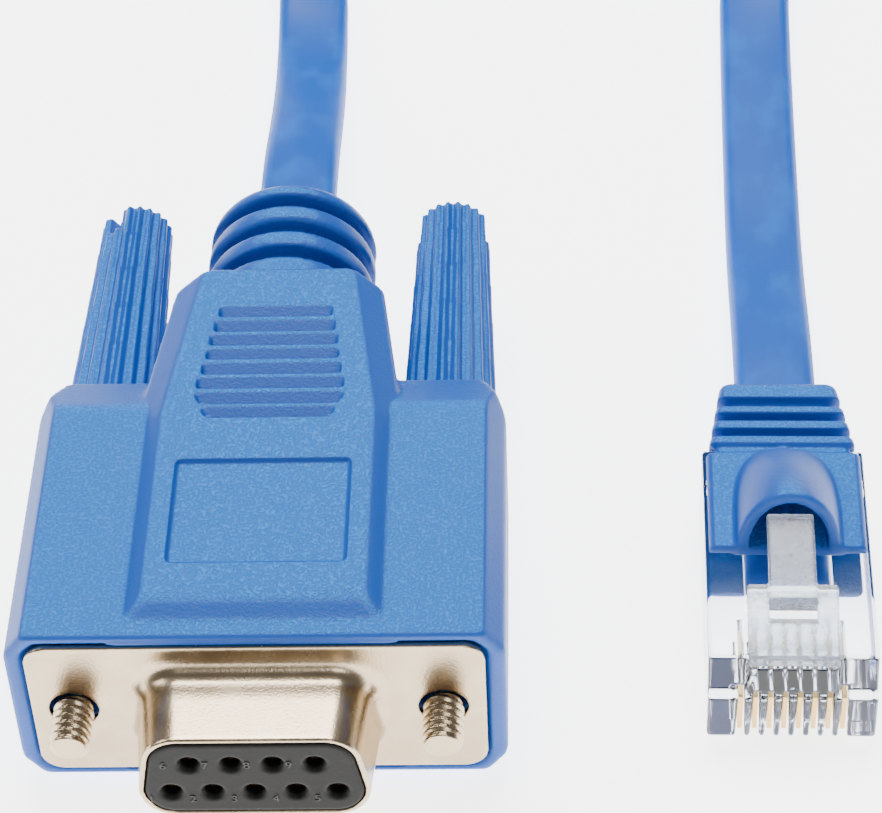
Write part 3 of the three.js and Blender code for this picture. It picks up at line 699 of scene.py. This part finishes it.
def boot_field(x, y, z):
    across = np.abs(x)
    tail = np.clip((y - tail_start) / (boot_end - tail_start), 0, 1)
    half_width = np.where(y < tail_start, 5.6, 5.45 - 1.15 * tail)
    half_height = 4.1 - 1.0 * tail
    above = np.abs(z - boot_middle + 0.1 * tail) - half_height
    body = smooth_max(0.8, across - half_width, above)
    for groove, depth in boot_grooves:
        body = body + depth * np.clip((0.5 - np.abs(y - groove)) / 0.14, 0, 1)
    body = smooth_max(0.9, body, y - boot_end)
    body = smooth_max(0.2, body, boot_front - y)
    opening = np.maximum(np.maximum(0.55 - z, z - 7.45), y - 21.6)
    body = smooth_max(0.15, body, -opening)
    run = np.clip((y - boot_front) / guard_length, 0, 1)
    half = 3.65 * np.sqrt(np.clip(1 - run ** 4, 0.0001, 1))
    rise = np.maximum((guard_top - 8.1) * (1 - run ** 1.6), 0.02)
    lean = boot_front + (z - 8.2) / 4.9

    def arch(a, b):
        return (np.hypot(x / a, (z - 8.0) / b) - 1) * np.minimum(a, b)

    guard_ends = np.maximum(7.6 - z, y - boot_front - guard_length)
    guard = np.maximum(arch(half, rise + 0.1), guard_ends)
    guard = smooth_max(0.3, guard, lean - y)
    body = smooth_min(body, guard, 0.5)
    hollow = arch(np.maximum(half - guard_wall, 0.1), np.maximum(rise - 0.75, 0.1))
    hollow = np.maximum(hollow, np.maximum(y - 17, 8.15 - z))
    return smooth_max(0.2, body, -hollow)


boot = skin(
    "plug_boot", (-5.7, boot_front, 0), (5.7, boot_end, guard_top), 0.17,
    boot_field, plug_place,
)
boot.data.materials.append(hood_pvc)
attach(boot, "cable")
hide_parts("rj45_boot")


# The modular plug: one clear polycarbonate moulding with a stepped nose, eight slots for the
# blades and a springy latch that is hinged on a tongue at the nose. The latch has a finer,
# frosted face. The eight gold blades stand in the slots.
blade_count, blade_pitch, slot_top, slot_back = 8, 1.016, 5.1, 6.2
plug_half_width, plug_length, plug_bottom, plug_top = 5.84, 21.46, 0.7, 7.3
tongue_half_width, lever_half_width = 3.135, 1.65


def plug_field(x, y, z):
    across = np.abs(x)
    outside = across - plug_half_width
    lower = smooth_max(0.25, outside, z - 4.8, plug_bottom - z, -y, y - 3)
    upper_face = 0.8 + np.maximum(z - 4.8, 0) * 0.36
    upper = smooth_max(
        0.25, outside, np.maximum(plug_bottom - z, z - plug_top), (upper_face - y) * 0.94,
        y - plug_length,
    )
    tongue = smooth_max(
        0.4, across - tongue_half_width, 3.6 - z, z - 7.28, (z - 3.6) * 0.19 - y, y - 1.7)
    gate = np.hypot(np.hypot(x, z - 5.1) - 0.33, y - 0.3) - 0.09
    body = np.minimum(np.minimum(smooth_min(lower, upper, 0.08), tongue), gate)
    for i in range(blade_count):
        blade_x = (i - 3.5) * blade_pitch
        beside = np.abs(x - blade_x) - 0.19 - (slot_top - z) * 0.027
        slot = np.maximum(np.maximum(beside, y - slot_back), z - slot_top)
        body = smooth_max(0.14, body, -slot)
    cavity = np.maximum(np.maximum(across - 3.15, np.abs(z - 4) - 1.7), 8 - y)
    return smooth_max(0.2, body, -cavity)


def strap(y, z, points, half):
    """Distance from a bent strip of even thickness, given by its middle line in the YZ plane."""
    nearest = 100 + 0 * y
    for (y0, z0), (y1, z1) in zip(points, points[1:]):
        run, rise = y1 - y0, z1 - z0
        part = np.clip(((y - y0) * run + (z - z0) * rise) / (run * run + rise * rise), 0, 1)
        nearest = np.minimum(nearest, np.hypot(y - y0 - part * run, z - z0 - part * rise))
    return nearest - half


def latch_field(x, y, z):
    across = np.abs(x)
    bend = strap(y, z, ((1.1, 7.3), (1.75, 7.8), (6.9, 9.4)), 0.42)
    underside = 7.33 + np.maximum(y - 1.1, 0) * 0.2
    wide = smooth_max(0.16, bend, across - tongue_half_width, underside - z, y - 6.3)
    hole = np.maximum(across - lever_half_width, np.abs(y - 4.375) - 0.525)
    wide = smooth_max(0.1, wide, -hole)
    line = np.maximum(np.maximum(across - 2.03, np.abs(z - 7.62) - 0.17), y - 1.15)
    wide = smooth_max(0.06, wide, -line)
    lever = strap(y, z, ((4.4, 9.12), (12.4, 10.56)), 0.42)
    lever = smooth_max(0.16, lever, across - lever_half_width, 4.9 - y, y - 11.8)
    return smooth_min(wide, lever, 0.12)


plug_body = skin(
    "plug_clear_body", (-plug_half_width, 0, plug_bottom), (plug_half_width, plug_length, plug_top),
    0.15, plug_field, plug_place,
)
plug_latch = skin(
    "plug_frosted_latch", (-3.2, 0.6, plug_top), (3.2, 11.8, 11), 0.12,
    latch_field, plug_place,
)


def clear_looks(start):
    cloud = start.noise(900, start.place(), detail=2)
    return {
        "Base Color": cloud.colours(linear(238, 243, 249), linear(248, 251, 254)),
        "Roughness": 0.03 + cloud * 0.05,
        "Transmission Weight": 1.0,
        "IOR": 1.45,
    }


def frosted_looks(start):
    cloud = start.noise(1400, start.place(), detail=3)
    return {
        "Base Color": cloud.colours(linear(214, 224, 238), linear(240, 245, 250)),
        "Roughness": 0.12 + cloud * 0.25,
        "Transmission Weight": 0.85,
        "IOR": 1.45,
        "Normal": cloud.bump(0.00006),
    }


plug_pieces = (
    (plug_body, "cable", "rj45_plug_body", new_finish("clear_polycarbonate", clear_looks)),
    (plug_latch, "latch", "rj45_latch", new_finish("frosted_polycarbonate", frosted_looks)),
)
for piece, rides_on, node_name, finish in plug_pieces:
    piece.data.materials.append(finish)
    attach(piece, rides_on)
    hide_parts(node_name)


def gold_looks(start):
    cloud = start.noise(2500, start.place(), detail=2)
    return {
        "Base Color": cloud.colours(linear(206, 168, 104), linear(224, 190, 128)),
        "Metallic": 1.0,
        "Roughness": 0.3 + cloud * 0.12,
    }


gold = new_finish("gold_plate", gold_looks)
for part in frame["record"]["subparts"]:
    if part["material_slot"] == "gold_contacts":
        node = frame["nodes"][part["node"]]
        node.data.materials.clear()
        node.data.materials.append(gold)

# The table and the studio's light: a glowing white sheet, three soft boxes and a dim world.
sheet = 3
floor = new_mesh(
    "table", [(-sheet, -sheet, 0), (sheet, -sheet, 0), (sheet, sheet, 0), (-sheet, sheet, 0)],
    [(0, 1, 2, 3)], smooth=False,
)


def table_looks(start):
    speckle = start.noise(60, start.place(), detail=2)
    return {
        "Base Color": speckle.colours((0.93, 0.93, 0.93, 1), (0.95, 0.95, 0.95, 1)),
        "Roughness": 0.7,
        "Emission Color": (1, 1, 1, 1),
        "Emission Strength": 4.0,
    }


floor.data.materials.append(new_finish("table_white", table_looks))


def soft_box(name, place, aim, size, power):
    lamp = bpy.data.lights.new(name, "AREA")
    lamp.shape, lamp.size, lamp.size_y = "RECTANGLE", *size
    lamp.energy = power
    made = bpy.data.objects.new(name, lamp)
    made.location = place
    made.rotation_euler = (Vector(aim) - Vector(place)).to_track_quat("-Z", "Y").to_euler()
    bpy.context.scene.collection.objects.link(made)


soft_box("light_back", (0.02, 0.26, 0.6), (0.02, 0, 0), (0.4, 0.4), 7.5)
soft_box("light_left", (-0.5, 0.05, 0.4), (0, 0, 0), (0.3, 0.3), 1.5)
soft_box("light_front", (0.1, -0.5, 0.3), (0.02, 0, 0), (0.2, 0.2), 0.6)
world = bpy.data.worlds.new("studio")
world.use_nodes = True
sky = world.node_tree.nodes["Background"].inputs
sky["Color"].default_value = (1, 1, 1, 1)
sky["Strength"].default_value = 0.2
bpy.context.scene.world = world
